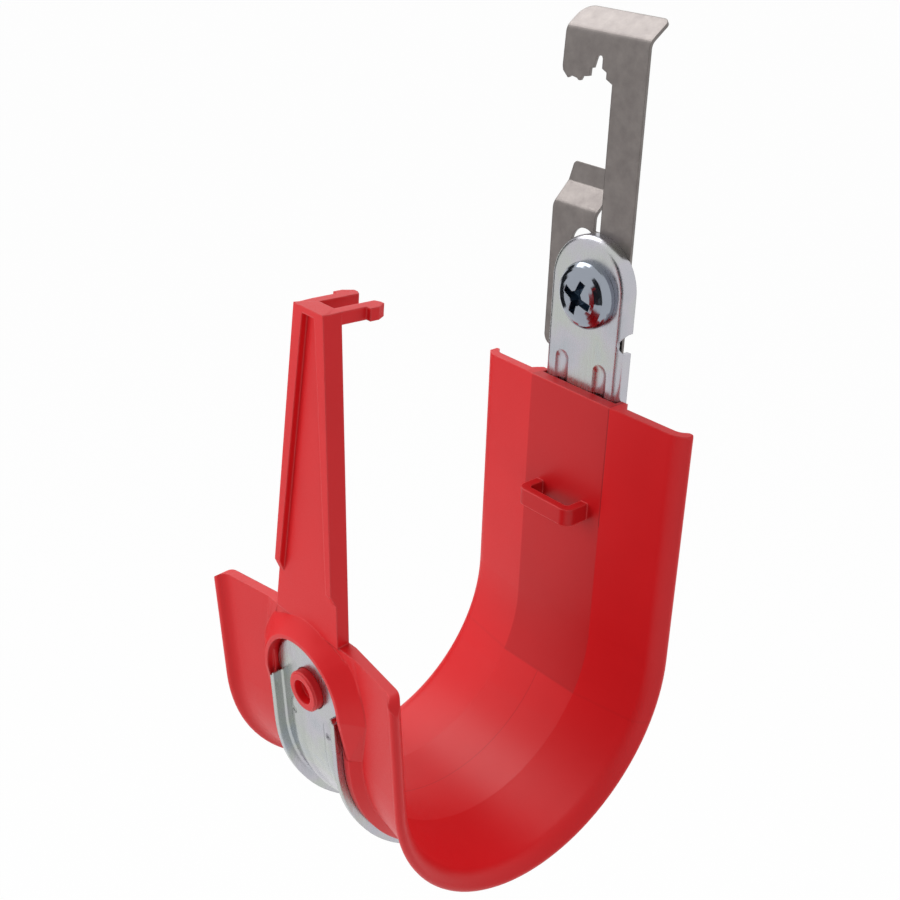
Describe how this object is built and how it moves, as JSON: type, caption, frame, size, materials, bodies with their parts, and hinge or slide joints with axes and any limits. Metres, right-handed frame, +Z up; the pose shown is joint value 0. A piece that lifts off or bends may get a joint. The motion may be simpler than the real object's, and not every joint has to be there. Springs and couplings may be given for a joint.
{
  "type": "j hook cable support",
  "caption": "Red moulded cable saddle on a steel J-shaped strip, with an upright latch arm and a spring steel clip that hangs it from a wire.",
  "frame": {"origin": "apex of the clip's stepped notch, halfway through the clip's sheet, where the wire lies that the hook hangs from", "axes": "+X across the trough, towards the clip's tall strip; +Y from the open front lip to the back wall and clip; +Z up"},
  "size_m": [0.0517, 0.0733, 0.1481],
  "materials": {
    "zinc_steel": "bright zinc plated sheet, faint grain",
    "red_plastic": "fine moulded grain, soft sheen",
    "spring_steel": "dull phosphate grey, smooth",
    "bright_screw": "bright zinc plated, polished"
  },
  "bodies": {
    "root": {"steel_frame": "zinc_steel", "saddle": "red_plastic", "clip": "spring_steel", "screw": "bright_screw"}
  },
  "joints": []
}
